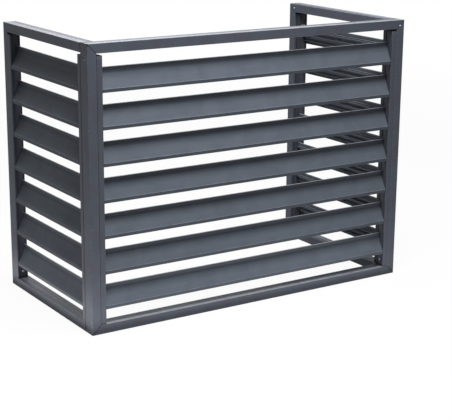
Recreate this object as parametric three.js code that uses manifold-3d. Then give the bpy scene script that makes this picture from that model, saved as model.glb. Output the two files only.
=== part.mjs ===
// A louvred screen that stands round an outdoor air conditioner on three sides: a wide front
// panel and two side panels, open at the back and at the top. Each panel has a frame of aluminium
// tube, an upright channel at each end and seven slats between the channels.
//
// Millimetres, +Z up, the front looks along -Y. The origin is on the ground at the centre of the
// footprint.
//
// Each panel is built in its own axes: X along the panel from left to right as seen from outside,
// Y from the outer face inwards, Z up. Its origin is the outer bottom corner at its left end.

import * as THREE from 'three';
import { mergeVertices } from 'three/addons/utils/BufferGeometryUtils.js';
import Module from 'manifold-3d';

const wasm = await Module();
wasm.setup();

// Overall sizes
const overallWidth = 1200;
const overallDepth = 600;
const overallHeight = 900;

// Clearances
const fitGap = 0.3;
const openJointGap = 2;
const cutOverrun = 1;

// Frame tube: the face is its width as seen from outside, the depth runs inwards
const frameFace = 30;
const frameDepth = 45;
const frameWall = 2;
const frameEdgeRadius = 1.2;
const frameEdgeSegments = 3;

// Upright channel at each end of a panel, open towards the post that it stands against
const channelWidth = 19;
const channelDepth = 36;
const channelWall = 1.8;
const channelEdgeBreak = 0.8;
const channelTopNotch = 6.5;
const channelFrontFlange = 7;
const channelFrontGroove = 3;
const channelFrontGrooveDepth = 1.4;
const channelRearFlange = 3;
const channelRearGroove = 5;
const channelRearGrooveDepth = 2.4;

// Slats
const slatCount = 7;
const slatHeight = 74;
const slatDepth = 28;
const slatWall = 1.8;
const slatGapBelow = 47.5;
const slatGapAbove = 44;
const lipSetback = 1;
const lipHeight = 10.5;
const creaseDepth = 1.2;
const creaseHeight = 1;

// Hollow face of a slat from the crease up to its top flange: shares of the slat's depth and height
const slatFaceShares = [
  [0.255, 0.27],
  [0.45, 0.405],
  [0.62, 0.54],
  [0.77, 0.68],
  [0.87, 0.775],
];
const topFlangeShare = 0.84;

// Screw ports on the back of a slat, at shares of its height
const portRadius = 4;
const portBoreRadius = 1.9;
const portSeatShare = 0.75;
const portHeightShares = [0.215, 0.515, 0.77];
const portMouthAngle = Math.PI / 5;
const portSegments = 6;

// Screws that hold the channels: a round head and a plain shank
const channelScrewRise = 24;
const channelScrewHead = 7;
const channelScrewHeadHeight = 2.2;
const channelScrewShank = 4;
const channelScrewBite = 6;

// Screws that hold the corner keys at the rear of the side panels
const keyScrewInset = 28;
const keyScrewHead = 7.5;
const keyScrewHeadHeight = 1.8;
const keyScrewShank = 4.5;
const keyScrewBite = 14;
const screwSides = 12;
const headCrownShare = 0.6;

// Corner keys and joint blocks inside the tubes
const keyToScrew = 6;
const blockLength = 40;

// Sizes that follow from the ones above
const channelLandStart = channelFrontFlange + channelFrontGroove;
const channelLandEnd = channelDepth - channelRearFlange - channelRearGroove;
const channelLandMiddle = (channelLandStart + channelLandEnd) / 2;
const channelWebFace = channelWidth - channelRearGrooveDepth - channelWall;
const channelScrewHeight = frameFace + channelScrewRise;
const keyLeg = channelScrewHeight - channelScrewShank / 2 - keyToScrew;
const boreInset = frameWall + fitGap;
const sideLength = overallDepth - frameDepth;
const lowestSlat = frameFace + slatGapBelow;
const highestSlat = overallHeight - frameFace - slatGapAbove - slatHeight;
const slatPitch = (highestSlat - lowestSlat) / (slatCount - 1);

const xAxis = new THREE.Vector3(1, 0, 0);
const yAxis = new THREE.Vector3(0, 1, 0);
const zAxis = new THREE.Vector3(0, 0, 1);

// Materials

function frameCoat() {
  return new THREE.MeshStandardMaterial({ color: 0x484b53, roughness: 0.42, metalness: 0.35 });
}

function channelCoat() {
  return new THREE.MeshStandardMaterial({ color: 0x4b4e56, roughness: 0.42, metalness: 0.35 });
}

function slatCoat() {
  return new THREE.MeshStandardMaterial({ color: 0x4a4f57, roughness: 0.4, metalness: 0.35 });
}

function castAluminium() {
  return new THREE.MeshStandardMaterial({ color: 0x9b9ea2, roughness: 0.6, metalness: 0.9 });
}

function stainlessSteel() {
  return new THREE.MeshStandardMaterial({ color: 0xb4b7bb, roughness: 0.3, metalness: 1 });
}

// Joining and cutting

function toSolid(geometry) {
  const bare = geometry.clone();
  bare.deleteAttribute('normal');
  bare.deleteAttribute('uv');
  const merged = mergeVertices(bare);
  const mesh = new wasm.Mesh({
    numProp: 3,
    vertProperties: new Float32Array(merged.attributes.position.array),
    triVerts: new Uint32Array(merged.index.array),
  });
  return new wasm.Manifold(mesh);
}

function toGeometry(solid) {
  const mesh = solid.getMesh();
  const indexed = new THREE.BufferGeometry();
  indexed.setAttribute('position', new THREE.BufferAttribute(mesh.vertProperties, 3));
  indexed.setIndex(new THREE.BufferAttribute(mesh.triVerts, 1));
  const geometry = indexed.toNonIndexed();
  geometry.computeVertexNormals();
  return geometry;
}

function joined(first, others) {
  let solid = toSolid(first);
  for (const other of others) {
    solid = solid.add(toSolid(other));
  }
  return toGeometry(solid);
}

function without(geometry, cutter) {
  return toGeometry(toSolid(geometry).subtract(toSolid(cutter)));
}

// Placing: the geometry's own X, Y and Z point along the three directions given

function place(mesh, position, directions) {
  const basis = new THREE.Matrix4().makeBasis(...directions);
  mesh.quaternion.setFromRotationMatrix(basis);
  mesh.position.copy(position);
  return mesh;
}

function named(name, geometry, material) {
  const mesh = new THREE.Mesh(geometry, material);
  mesh.name = name;
  return mesh;
}

function shapeFrom(points) {
  return new THREE.Shape(points.map(([x, y]) => new THREE.Vector2(x, y)));
}

// Frame bars. Across a bar, X runs from its outer edge inwards, Y is the depth, Z runs along it.

function barSection() {
  const section = new THREE.Shape();
  const radius = frameEdgeRadius;
  const right = frameFace - radius;
  const back = frameDepth - radius;
  section.absarc(radius, radius, radius, Math.PI, Math.PI * 1.5, false);
  section.absarc(right, radius, radius, Math.PI * 1.5, Math.PI * 2, false);
  section.absarc(right, back, radius, 0, Math.PI / 2, false);
  section.absarc(radius, back, radius, Math.PI / 2, Math.PI, false);
  section.closePath();
  const bore = new THREE.Path();
  bore.moveTo(frameWall, frameWall);
  bore.lineTo(frameWall, frameDepth - frameWall);
  bore.lineTo(frameFace - frameWall, frameDepth - frameWall);
  bore.lineTo(frameFace - frameWall, frameWall);
  bore.closePath();
  section.holes.push(bore);
  return section;
}

// A mitred end leans back by as much as the point lies across the bar; a square end doesn't.
function mitre() {
  return (across) => across + fitGap * Math.SQRT1_2;
}

function squareEnd(gap) {
  return () => gap;
}

function barGeometry(length, startInset, endInset) {
  const options = { depth: length, bevelEnabled: false, curveSegments: frameEdgeSegments };
  const geometry = new THREE.ExtrudeGeometry(barSection(), options);
  const position = geometry.attributes.position;
  for (let i = 0; i < position.count; i += 1) {
    const across = position.getX(i);
    const atEnd = position.getZ(i) > length / 2;
    position.setZ(i, atEnd ? length - endInset(across) : startInset(across));
  }
  geometry.computeVertexNormals();
  return geometry;
}

function frameBar(name, length, insets, origin, directions) {
  const mesh = named(name, barGeometry(length, ...insets), frameCoat());
  return place(mesh, origin, directions);
}

function frameRails(panel) {
  const startTop = panel.startPost ? mitre() : squareEnd(fitGap);
  const endTop = panel.endPost ? mitre() : squareEnd(fitGap);
  const startBottom = panel.startPost ? mitre() : squareEnd(openJointGap);
  const endBottom = panel.endPost ? mitre() : squareEnd(openJointGap);
  const topDirections = [zAxis.clone().negate(), yAxis, xAxis];
  const bottomDirections = [zAxis, yAxis, xAxis.clone().negate()];
  const topOrigin = new THREE.Vector3(0, 0, overallHeight);
  const bottomOrigin = new THREE.Vector3(panel.length, 0, 0);
  const topName = `${panel.name}_top_rail`;
  const bottomName = `${panel.name}_bottom_rail`;
  return [
    frameBar(topName, panel.length, [startTop, endTop], topOrigin, topDirections),
    frameBar(bottomName, panel.length, [endBottom, startBottom], bottomOrigin, bottomDirections),
  ];
}

function framePosts(panel) {
  const posts = [];
  const insets = [mitre(), mitre()];
  if (panel.startPost) {
    const directions = [xAxis, yAxis, zAxis];
    const origin = new THREE.Vector3(0, 0, 0);
    posts.push(frameBar(panel.startPost, overallHeight, insets, origin, directions));
  }
  if (panel.endPost) {
    const directions = [xAxis.clone().negate(), yAxis, zAxis.clone().negate()];
    const origin = new THREE.Vector3(panel.length, 0, overallHeight);
    posts.push(frameBar(panel.endPost, overallHeight, insets, origin, directions));
  }
  return posts;
}

// Corner keys: an angle of two legs that slide into the bores of a rail and a post

function cornerKey(name, cornerX, cornerZ, inwardX, inwardZ) {
  const near = boreInset;
  const far = frameFace - boreInset;
  const outline = [
    [near, near],
    [keyLeg, near],
    [keyLeg, far],
    [far, far],
    [far, keyLeg],
    [near, keyLeg],
  ];
  const turned = outline.map(([x, z]) => [x * inwardX, z * inwardZ]);
  const options = { depth: frameDepth - 2 * boreInset, bevelEnabled: false };
  const geometry = new THREE.ExtrudeGeometry(shapeFrom(turned), options);
  const origin = new THREE.Vector3(cornerX, frameDepth - boreInset, cornerZ);
  const directions = [xAxis, zAxis, yAxis.clone().negate()];
  return place(named(name, geometry, castAluminium()), origin, directions);
}

// Joint blocks: they stand on the front frame and fill the square end of a side rail
function jointBlock(name, panel, rail) {
  const length = blockLength - fitGap;
  const depth = frameDepth - 2 * boreInset;
  const height = frameFace - 2 * boreInset;
  const geometry = new THREE.BoxGeometry(length, depth, height);
  const mesh = named(name, geometry, castAluminium());
  const middle = (blockLength + fitGap) / 2;
  const x = panel.startPost ? panel.length - middle : middle;
  const z = rail === 'top' ? overallHeight - frameFace / 2 : frameFace / 2;
  mesh.position.set(x, frameDepth / 2, z);
  return mesh;
}

function frameJoints(panel) {
  const joints = [];
  for (const rail of ['top', 'bottom']) {
    const z = rail === 'top' ? overallHeight : 0;
    const inwardZ = rail === 'top' ? -1 : 1;
    if (panel.startPost) {
      const name = panel.startPost.replace('post', `${rail}_corner_key`);
      joints.push(cornerKey(name, 0, z, 1, inwardZ));
    }
    if (panel.endPost) {
      const name = panel.endPost.replace('post', `${rail}_corner_key`);
      joints.push(cornerKey(name, panel.length, z, -1, inwardZ));
    }
    if (!panel.startPost || !panel.endPost) {
      joints.push(jointBlock(`${panel.name}_${rail}_joint_block`, panel, rail));
    }
  }
  return joints;
}

// Channels. The outline's X runs from the post towards the slats, its Y is the depth.

function channelOutline() {
  const width = channelWidth;
  const depth = channelDepth;
  const edge = channelEdgeBreak;
  const frontFloor = width - channelFrontGrooveDepth;
  const rearFloor = width - channelRearGrooveDepth;
  return [
    [0, edge],
    [edge, 0],
    [width - edge, 0],
    [width, edge],
    [width, channelFrontFlange],
    [frontFloor, channelFrontFlange],
    [frontFloor, channelLandStart],
    [width, channelLandStart],
    [width, channelLandEnd],
    [rearFloor, channelLandEnd],
    [rearFloor, depth - channelRearFlange],
    [width, depth - channelRearFlange],
    [width, depth],
    [0, depth],
    [0, depth - channelWall],
    [channelWebFace, depth - channelWall],
    [channelWebFace, channelWall],
    [0, channelWall],
  ];
}

// Distance from a panel's end to the post side of its channel
function channelOffset(post) {
  return post ? frameFace + fitGap : fitGap;
}

function channelBar(name, x, towardsSlats) {
  const outline = channelOutline().map(([across, depth]) => [across * towardsSlats, depth]);
  const bottom = frameFace + fitGap;
  const top = overallHeight - frameFace - channelTopNotch;
  const options = { depth: top - bottom, bevelEnabled: false };
  const mesh = named(name, new THREE.ExtrudeGeometry(shapeFrom(outline), options), channelCoat());
  mesh.position.set(x, 0, bottom);
  return mesh;
}

function channels(panel) {
  const startX = channelOffset(panel.startPost);
  const endX = panel.length - channelOffset(panel.endPost);
  return [
    channelBar(`${panel.name}_${panel.startSide}_channel`, startX, 1),
    channelBar(`${panel.name}_${panel.endSide}_channel`, endX, -1),
  ];
}

// Slats. The outline's X is the depth from the panel's outer face, its Y is the height.

function slatFace() {
  const flangeDepth = slatDepth - slatWall;
  const slope = slatFaceShares.map(([depth, height]) => [depth * slatDepth, height * slatHeight]);
  return [
    [lipSetback, 0],
    [lipSetback, lipHeight],
    [lipSetback + creaseDepth, lipHeight + creaseHeight],
    ...slope,
    [flangeDepth, topFlangeShare * slatHeight],
    [flangeDepth, slatHeight],
  ];
}

// The same line moved back by the wall, each corner at the crossing of its two moved sides
function movedBack(line, distance) {
  const moved = [];
  for (let i = 0; i < line.length; i += 1) {
    const before = line[Math.max(i - 1, 0)];
    const here = line[i];
    const after = line[Math.min(i + 1, line.length - 1)];
    const arriving = new THREE.Vector2(here[0] - before[0], here[1] - before[1]).normalize();
    const leaving = new THREE.Vector2(after[0] - here[0], after[1] - here[1]).normalize();
    const along = arriving.clone().add(leaving).normalize();
    const side = arriving.lengthSq() > 0 ? arriving : leaving;
    const reach = distance / along.dot(side);
    moved.push([here[0] + along.y * reach, here[1] - along.x * reach]);
  }
  return moved;
}

function depthAt(line, height) {
  const upper = line.findIndex(([, z]) => z >= height);
  const [x0, z0] = line[upper - 1];
  const [x1, z1] = line[upper];
  return THREE.MathUtils.mapLinear(height, z0, z1, x0, x1);
}

// A ring that is open towards the back, into which an end screw cuts its thread
function portGeometry(depth, height, length) {
  const ring = new THREE.Shape();
  const from = portMouthAngle;
  const to = Math.PI * 2 - portMouthAngle;
  ring.absarc(depth, height, portRadius, from, to, false);
  ring.absarc(depth, height, portBoreRadius, to, from, true);
  ring.closePath();
  const options = { depth: length, bevelEnabled: false, curveSegments: portSegments };
  return new THREE.ExtrudeGeometry(ring, options);
}

function slatGeometry(length) {
  const face = slatFace();
  const back = movedBack(face, slatWall);
  const blade = shapeFrom([...face, ...back.reverse()]);
  const options = { depth: length, bevelEnabled: false };
  const ports = portHeightShares.map((share) => {
    const height = share * slatHeight;
    const depth = depthAt(face, height) + slatWall + portRadius * portSeatShare;
    return portGeometry(depth, height, length);
  });
  return joined(new THREE.ExtrudeGeometry(blade, options), ports);
}

function slats(panel) {
  const meshes = [];
  const startX = channelOffset(panel.startPost) + channelWidth + fitGap;
  const endX = panel.length - channelOffset(panel.endPost) - channelWidth - fitGap;
  const directions = [yAxis, zAxis, xAxis];
  for (let i = 0; i < slatCount; i += 1) {
    const name = `${panel.name}_slat_${i + 1}`;
    const mesh = named(name, slatGeometry(endX - startX), slatCoat());
    const origin = new THREE.Vector3(startX, 0, highestSlat - i * slatPitch);
    meshes.push(place(mesh, origin, directions));
  }
  return meshes;
}

// Screws. Y is the axis, the head's seat is at zero and the shank runs down from it.

function screwGeometry(size) {
  const headRadius = size.head / 2;
  const shankRadius = size.shank / 2;
  const profile = [
    new THREE.Vector2(0, -size.length),
    new THREE.Vector2(shankRadius, -size.length),
    new THREE.Vector2(shankRadius, 0),
    new THREE.Vector2(headRadius, 0),
    new THREE.Vector2(headRadius, size.headHeight * (1 - headCrownShare)),
    new THREE.Vector2(headRadius * headCrownShare, size.headHeight),
    new THREE.Vector2(0, size.headHeight),
  ];
  return new THREE.LatheGeometry(profile, screwSides);
}

function screw(name, size, x, depth, z) {
  const mesh = named(name, screwGeometry(size), stainlessSteel());
  mesh.userData.size = size;
  mesh.position.set(x, depth, z);
  return mesh;
}

function channelScrewSize(panelPost) {
  const stack = channelWidth + channelOffset(panelPost) - (panelPost ? frameFace : 0) + frameWall;
  return {
    head: channelScrewHead,
    headHeight: channelScrewHeadHeight,
    shank: channelScrewShank,
    length: stack + fitGap + channelScrewBite,
  };
}

function channelScrews(panel) {
  const startX = channelOffset(panel.startPost) + channelWidth + fitGap;
  const endX = panel.length - channelOffset(panel.endPost) - channelWidth - fitGap;
  const startSize = channelScrewSize(panel.startPost);
  const endSize = channelScrewSize(panel.endPost);
  const startName = `${panel.name}_${panel.startSide}_channel_screw`;
  const endName = `${panel.name}_${panel.endSide}_channel_screw`;
  const start = screw(startName, startSize, startX, channelLandMiddle, channelScrewHeight);
  const end = screw(endName, endSize, endX, channelLandMiddle, channelScrewHeight);
  start.rotation.z = -Math.PI / 2;
  end.rotation.z = Math.PI / 2;
  return [start, end];
}

function keyScrews(panel) {
  const rearX = panel.startPost ? keyScrewInset : panel.length - keyScrewInset;
  const size = {
    head: keyScrewHead,
    headHeight: keyScrewHeadHeight,
    shank: keyScrewShank,
    length: fitGap + frameWall + keyScrewBite,
  };
  const depth = frameDepth + fitGap;
  const topZ = overallHeight - frameFace / 2;
  return [
    screw(`${panel.name}_rear_top_key_screw`, size, rearX, depth, topZ),
    screw(`${panel.name}_rear_bottom_key_screw`, size, rearX, depth, frameFace / 2),
  ];
}

// A clearance hole for a screw, cut in a piece that it goes through or into
function drill(root, screwName, pieceNames) {
  const fastener = root.getObjectByName(screwName);
  const { shank, length } = fastener.userData.size;
  const depth = length + fitGap + cutOverrun;
  for (const pieceName of pieceNames) {
    const piece = root.getObjectByName(pieceName);
    const radius = shank / 2 + fitGap;
    const cutter = new THREE.CylinderGeometry(radius, radius, depth, screwSides);
    cutter.translate(0, cutOverrun - depth / 2, 0);
    cutter.applyMatrix4(piece.matrixWorld.clone().invert().multiply(fastener.matrixWorld));
    piece.geometry = without(piece.geometry, cutter);
  }
}

function drillPanels(root) {
  drill(root, 'front_left_channel_screw', ['front_left_channel', 'front_left_post']);
  drill(root, 'front_right_channel_screw', ['front_right_channel', 'front_right_post']);
  for (const side of ['left', 'right']) {
    drill(root, `${side}_front_channel_screw`, [`${side}_front_channel`, `front_${side}_post`]);
    drill(root, `${side}_rear_channel_screw`, [`${side}_rear_channel`, `${side}_rear_post`]);
    for (const rail of ['top', 'bottom']) {
      const pieces = [`${side}_${rail}_rail`, `${side}_rear_${rail}_corner_key`];
      drill(root, `${side}_rear_${rail}_key_screw`, pieces);
    }
  }
}

// Panels

function panelGroup(panel) {
  const group = new THREE.Group();
  group.add(...frameRails(panel), ...framePosts(panel), ...frameJoints(panel));
  group.add(...channels(panel), ...slats(panel), ...channelScrews(panel));
  return group;
}

function frontPanel() {
  const group = panelGroup({
    name: 'front',
    length: overallWidth,
    startPost: 'front_left_post',
    endPost: 'front_right_post',
    startSide: 'left',
    endSide: 'right',
  });
  group.position.set(-overallWidth / 2, -overallDepth / 2, 0);
  return group;
}

function leftPanel() {
  const panel = {
    name: 'left',
    length: sideLength,
    startPost: 'left_rear_post',
    endPost: null,
    startSide: 'rear',
    endSide: 'front',
  };
  const group = panelGroup(panel);
  group.add(...keyScrews(panel));
  group.position.set(-overallWidth / 2, overallDepth / 2, 0);
  group.rotation.z = -Math.PI / 2;
  return group;
}

function rightPanel() {
  const panel = {
    name: 'right',
    length: sideLength,
    startPost: null,
    endPost: 'right_rear_post',
    startSide: 'front',
    endSide: 'rear',
  };
  const group = panelGroup(panel);
  group.add(...keyScrews(panel));
  group.position.set(overallWidth / 2, frameDepth - overallDepth / 2, 0);
  group.rotation.z = Math.PI / 2;
  return group;
}

function acScreen() {
  const root = new THREE.Group();
  root.add(frontPanel(), leftPanel(), rightPanel());
  root.updateMatrixWorld(true);
  drillPanels(root);
  return root;
}

export default acScreen();
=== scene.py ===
"""Visual model of an air conditioner screen: three louvred panels of coated aluminium.

A wide front and two sides, open at the back and at the top. Lengths are in metres, +Z is up and
the front looks along -Y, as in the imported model.

A panel has its own axes: X along it from left to right as seen from outside, Y from its outer
face inwards, Z up, with the origin at its outer bottom corner on the left.
"""

import logging
import math
from collections.abc import Iterable, Mapping
from dataclasses import dataclass
from enum import Enum
from typing import ClassVar

import bmesh
import bpy
import numpy as np
from mathutils import Matrix, Vector

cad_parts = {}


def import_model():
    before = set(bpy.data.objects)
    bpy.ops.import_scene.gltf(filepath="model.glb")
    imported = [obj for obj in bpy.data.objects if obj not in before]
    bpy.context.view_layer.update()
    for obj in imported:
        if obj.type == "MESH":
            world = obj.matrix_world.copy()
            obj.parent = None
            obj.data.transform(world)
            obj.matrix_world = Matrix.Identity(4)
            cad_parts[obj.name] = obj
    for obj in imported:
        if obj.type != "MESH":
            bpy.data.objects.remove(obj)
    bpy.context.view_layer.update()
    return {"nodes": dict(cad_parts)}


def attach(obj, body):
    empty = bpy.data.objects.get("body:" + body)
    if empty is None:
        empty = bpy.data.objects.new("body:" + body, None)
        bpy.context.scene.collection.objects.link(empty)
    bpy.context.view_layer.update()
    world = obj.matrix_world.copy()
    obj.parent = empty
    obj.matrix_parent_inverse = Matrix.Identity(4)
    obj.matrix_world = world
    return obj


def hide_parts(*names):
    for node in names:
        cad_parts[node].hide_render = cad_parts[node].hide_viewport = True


LOG = logging.getLogger("ac_screen")

Array = np.ndarray
Triple = tuple[float, float, float]
Range = tuple[float, float]

BODY = "root"
PHOTO_WIDTH = 452
ROLL_LIMIT = 0.48
WHITE = "#ffffff"
X_AXIS, Y_AXIS, Z_AXIS = np.eye(3)


# Surfaces


def ring_quads(rows: int, columns: int, looped: bool) -> Array:
    """Four-sided faces between the neighbours in a stack of closed rings.

    Args:
        rows: Number of rings.
        columns: Number of points in a ring.
        looped: True if the last ring joins the first one.

    Returns:
        One row of four point numbers for each face.
    """
    numbers = np.arange(rows * columns).reshape(rows, columns)
    if looped:
        numbers = np.vstack([numbers, numbers[:1]])
    numbers = np.hstack([numbers, numbers[:, :1]])
    corners = (numbers[:-1, :-1], numbers[:-1, 1:], numbers[1:, 1:], numbers[1:, :-1])
    return np.stack(corners, axis=-1).reshape(-1, 4)


def unit(vectors: Array) -> Array:
    """Each vector divided by its length."""
    return vectors / np.linalg.norm(vectors, axis=1)[:, None]


def right_of(directions: Array) -> Array:
    """Flat directions turned a quarter to their right: (x, y) becomes (y, -x)."""
    return np.stack([directions[:, 1], -directions[:, 0]], axis=1)


def smooth(share: Array) -> Array:
    """A smooth step of a share held between 0 and 1: s^2 (3 - 2 s)."""
    held = np.clip(share, 0.0, 1.0)
    return held * held * (3 - 2 * held)


def arc(centre: Array, radius: float, start: float, end: float, steps: int) -> Array:
    """Points of a circle from one angle to another: centre + radius (cos a, sin a)."""
    angles = np.linspace(start, end, steps + 1)
    return centre + radius * np.stack([np.cos(angles), np.sin(angles)], axis=1)


def rolled_outline(corners: Array, reach: Array, steps: int) -> Array:
    """A closed outline whose corners are rolled over.

    Each corner P gives way to the curve (1-t)^2 A + 2t(1-t) P + t^2 B, where A and B lie on its
    two sides at the reach from P, and never past the middle of a side.

    Args:
        corners: The outline's corners, one row each.
        reach: How far along its sides each corner is rolled.
        steps: Number of steps in a rolled corner.

    Returns:
        The points of the new outline, steps + 1 for each corner.
    """
    curve_ends = []
    for turn in (1, -1):
        side = np.roll(corners, turn, axis=0) - corners
        share = np.minimum(reach / np.linalg.norm(side, axis=1), ROLL_LIMIT)
        curve_ends.append((corners + side * share[:, None])[:, None])
    start, end = curve_ends
    t = np.linspace(0.0, 1.0, steps + 1)[None, :, None]
    curve = (1 - t) ** 2 * start + 2 * t * (1 - t) * corners[:, None] + t**2 * end
    return curve.reshape(-1, 2)


def offset_line(line: Array, distance: float) -> Array:
    """An open line moved to its right, each corner to where its two moved sides cross.

    A corner moves along the right normal of the mean direction of its sides, by the distance
    divided by the cosine of half its turn.

    Args:
        line: Points of the line, one row each.
        distance: How far the line moves.

    Returns:
        The moved points, as many as before.
    """
    steps = unit(np.diff(line, axis=0))
    arriving = np.vstack([steps[:1], steps])
    leaving = np.vstack([steps, steps[-1:]])
    along = unit(arriving + leaving)
    stretch = distance / np.sum(along * arriving, axis=1)
    return line + right_of(along) * stretch[:, None]


def linked(name: str, data: bpy.types.ID) -> bpy.types.Object:
    """Adds an object to the scene.

    Args:
        name: The object's name.
        data: The mesh, lamp or camera that it shows.

    Returns:
        The new object.
    """
    made = bpy.data.objects.new(name, data)
    bpy.context.scene.collection.objects.link(made)
    return made


@dataclass(frozen=True)
class Axes:
    """Where a piece's own origin and its three directions lie, one row for each direction."""

    origin: Array
    basis: Array

    def place(self, points: Array) -> Array:
        """The origin plus each point's share of the three directions."""
        return self.origin + points @ self.basis

    def inner(self, origin: Array, *directions: Array) -> "Axes":
        """Axes that are given in these ones, as axes of the whole screen."""
        return Axes(self.place(origin), np.stack(directions) @ self.basis)


@dataclass(frozen=True)
class Shell:
    """Points and faces of one closed surface, with the vectors that its finish reads."""

    points: Array
    faces: list[list[int]]
    marks: dict[str, Array]

    def make(self, name: str, axes: Axes, sharp_angle: float) -> bpy.types.Object:
        """Makes the Blender object.

        Args:
            name: Name of the object and its mesh.
            axes: Where the surface's own axes lie on the screen.
            sharp_angle: Edges that turn by more than this many degrees stay sharp.

        Returns:
            The object at the origin, its place in its mesh.
        """
        mesh = bpy.data.meshes.new(name)
        mesh.from_pydata(axes.place(self.points).tolist(), [], self.faces)
        work = bmesh.new()
        work.from_mesh(mesh)
        bmesh.ops.recalc_face_normals(work, faces=work.faces)
        work.to_mesh(mesh)
        work.free()
        for mark, values in self.marks.items():
            layer = mesh.attributes.new(mark, "FLOAT_VECTOR", "POINT")
            layer.data.foreach_set("vector", values.astype(np.float32).ravel())
        mesh.shade_smooth()
        mesh.set_sharp_from_angle(angle=math.radians(sharp_angle))
        mesh.validate()
        return linked(name, mesh)


def prism(outline: Array, stations: Array, inset: float = 0.0) -> Shell:
    """A flat outline carried along a straight line and closed by a face at both ends.

    The point at outline (x, y) and station z is (x, y, z). At the first and last stations it is
    moved against the outline's outward normal by the inset.

    Args:
        outline: Closed outline, counter-clockwise, one row for each point.
        stations: Heights at which the outline is repeated.
        inset: How far the outline is drawn in at both ends.

    Returns:
        The closed surface, marked with x, y and the distance to the nearer end.
    """
    outward = right_of(unit(np.roll(outline, -1, axis=0) - np.roll(outline, 1, axis=0)))
    drawn_in = np.zeros((len(stations), 1, 1))
    drawn_in[[0, -1]] = inset
    flat = outline - drawn_in * outward
    heights = np.broadcast_to(stations[:, None], flat.shape[:2])
    to_end = np.minimum(heights - stations[0], stations[-1] - heights)
    points = np.dstack([flat, heights]).reshape(-1, 3)
    marks = np.dstack([np.broadcast_to(outline, flat.shape), to_end]).reshape(-1, 3)
    rows, columns = heights.shape
    first = list(range(columns))
    last = list(range(len(points) - columns, len(points)))
    faces = ring_quads(rows, columns, False).tolist()
    return Shell(points, faces + [first[::-1], last], {"place": marks})


# Shader graph


def linear(code: str) -> Triple:
    """The shader's colour for a written one: ((c + 0.055) / 1.055)^2.4, or c / 12.92 if dark.

    Args:
        code: A colour as #rrggbb.

    Returns:
        Its red, green and blue shares.
    """
    shares = np.array([int(code[i : i + 2], 16) for i in (1, 3, 5)]) / 255.0
    curved = ((shares + 0.055) / 1.055) ** 2.4
    return tuple(float(share) for share in np.where(shares <= 0.04045, shares / 12.92, curved))


def found(sockets: bpy.types.bpy_prop_collection, key: str | int) -> bpy.types.NodeSocket:
    """The socket with this identifier, or else with this name or number."""
    known = {socket.identifier: socket for socket in sockets}
    return known[key] if key in known else sockets[key]


class Value:
    """A socket of a shader graph. Python's operators on it add Math nodes."""

    def __init__(self, graph: "Graph", socket: bpy.types.NodeSocket) -> None:
        """Keeps the graph and the socket that gives the value."""
        self.graph = graph
        self.socket = socket

    def __add__(self, other: "Operand") -> "Value":
        """self + other, which is also other + self."""
        return self.graph.maths("ADD", self, other)

    def __sub__(self, other: "Operand") -> "Value":
        """self - other."""
        return self.graph.maths("SUBTRACT", self, other)

    def __rsub__(self, other: "Operand") -> "Value":
        """other - self."""
        return self.graph.maths("SUBTRACT", other, self)

    def __mul__(self, other: "Operand") -> "Value":
        """self * other, which is also other * self."""
        return self.graph.maths("MULTIPLY", self, other)

    __radd__ = __add__
    __rmul__ = __mul__

    def least(self, other: "Operand") -> "Value":
        """The smaller of the two."""
        return self.graph.maths("MINIMUM", self, other)

    def greatest(self, other: "Operand") -> "Value":
        """The larger of the two."""
        return self.graph.maths("MAXIMUM", self, other)

    def alone(self, operation: str) -> "Value":
        """The result of a Math node on this value alone."""
        return self.graph.maths(operation, self)

    def rise(self, low: float, high: float) -> "Value":
        """A smooth step.

        Args:
            low: Where the step is 0.
            high: Where it is 1. It falls where this is the smaller one.

        Returns:
            The step, held at 0 and 1 beyond its ends.
        """
        ends = {"Value": self, "From Min": min(low, high), "From Max": max(low, high)}
        settings = {"interpolation_type": "SMOOTHSTEP"}
        step = self.graph.node("ShaderNodeMapRange", settings, ends)
        return 1.0 - step if low > high else step


Operand = Value | float


@dataclass(frozen=True)
class Noise:
    """Soft noise about 0.5: the size of its lumps, its levels of detail and its swirl."""

    size: float
    detail: float = 2.0
    swirl: float = 0.0


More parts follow.
